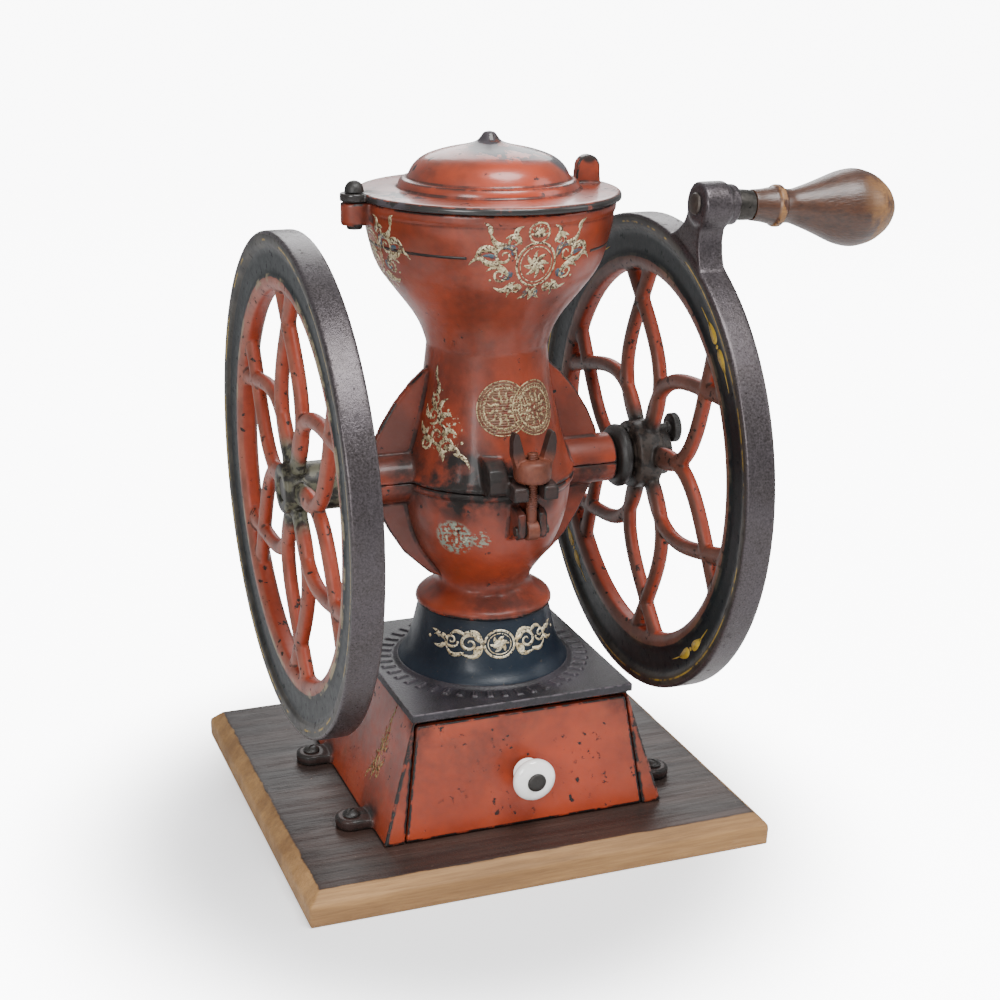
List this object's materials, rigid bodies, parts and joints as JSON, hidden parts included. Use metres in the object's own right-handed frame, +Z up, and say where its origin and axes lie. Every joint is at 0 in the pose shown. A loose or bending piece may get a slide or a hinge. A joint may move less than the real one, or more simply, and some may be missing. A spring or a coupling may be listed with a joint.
{
  "type": "hand coffee grinder mill",
  "caption": "Two-wheel hand coffee grinder mill: hopper with swinging lid, upright burrs on a cross axle, crank with wooden grip, drawer in a cast base on a wooden board.",
  "frame": {"origin": "on the underside of the board, straight below the axis of the hopper", "axes": "+X along the axle towards the crank wheel, -Y towards the drawer's front, +Z up"},
  "size_m": [0.3436, 0.273, 0.3895],
  "materials": {
    "case_enamel": "worn red-orange enamel on cast iron, chipped to dark iron",
    "base_enamel": "worn red enamel sides, black top plate and blue-black pedestal",
    "wheel_enamel": "red spokes, blue-black channel and bare iron tread",
    "bare_iron": "bare iron worn smooth, brown in the hollows",
    "black_iron": "dark oxidised iron",
    "board_wood": "dark oiled board with paler worn edges",
    "grip_wood": "turned wood, varnish worn through",
    "porcelain": "white glaze",
    "tinned_sheet": "dull tinned sheet"
  },
  "bodies": {
    "frame": {"board": "board_wood", "base_casting": "base_enamel", "foot_screw_left_front": "black_iron", "foot_screw_left_rear": "black_iron", "foot_screw_right_front": "black_iron", "foot_screw_right_rear": "black_iron", "lower_case": "case_enamel", "case_bolt_left": "black_iron", "case_bolt_right": "black_iron", "hopper_case": "case_enamel", "rear_hinge_pin": "bare_iron", "lid_rivet": "black_iron", "clamp_pin": "bare_iron", "fixed_burr": "bare_iron", "burr_screw_upper": "black_iron", "burr_screw_lower": "black_iron"},
    "lid": {"lid": "case_enamel"},
    "drawer": {"drawer_box": "tinned_sheet", "drawer_front": "case_enamel", "drawer_knob": "porcelain", "knob_screw": "black_iron", "knob_nut": "black_iron"},
    "wheels": {"axle": "bare_iron", "left_wheel": "wheel_enamel", "right_wheel": "wheel_enamel", "left_wheel_pin": "bare_iron", "right_wheel_pin": "bare_iron", "adjusting_collar": "black_iron", "rotating_burr": "bare_iron", "burr_pin": "bare_iron", "feed_worm": "bare_iron", "crank_pin": "bare_iron"},
    "adjuster": {"adjusting_screw": "black_iron"},
    "handle": {"handle_grip": "grip_wood", "ferrule": "bare_iron"},
    "swing_bolt": {"swing_bolt": "bare_iron"},
    "wing_nut": {"wing_nut": "bare_iron"}
  },
  "joints": [
    {"name": "wheels_spin", "type": "hinge", "parent": "frame", "child": "wheels", "pos_m": [0, 0, 0.2051], "axis": [1, 0, 0], "continuous": true},
    {"name": "handle_spin", "type": "hinge", "parent": "wheels", "child": "handle", "pos_m": [0.101, -0.06196, 0.35619], "axis": [0.9979, 0, -0.0645], "continuous": true},
    {"name": "adjuster_turn", "type": "hinge", "parent": "wheels", "child": "adjuster", "pos_m": [0.1, 0, 0.2186], "axis": [1, 0, 0], "range_deg": [-360, 360]},
    {"name": "lid_swing", "type": "hinge", "parent": "frame", "child": "lid", "pos_m": [-0.074, 0, 0.358], "axis": [0, 0, 1], "range_deg": [-115, 115]},
    {"name": "drawer_slide", "type": "slide", "parent": "frame", "child": "drawer", "axis": [0, -1, 0], "range_m": [0, 0.105]},
    {"name": "swing_bolt_turn", "type": "hinge", "parent": "frame", "child": "swing_bolt", "pos_m": [0.005, -0.0575, 0.187], "axis": [1, 0, 0], "range_deg": [0, 100]},
    {"name": "wing_nut_turn", "type": "hinge", "parent": "swing_bolt", "child": "wing_nut", "pos_m": [0.005, -0.0575, 0.22], "axis": [0, 0, 1], "continuous": true}
  ]
}
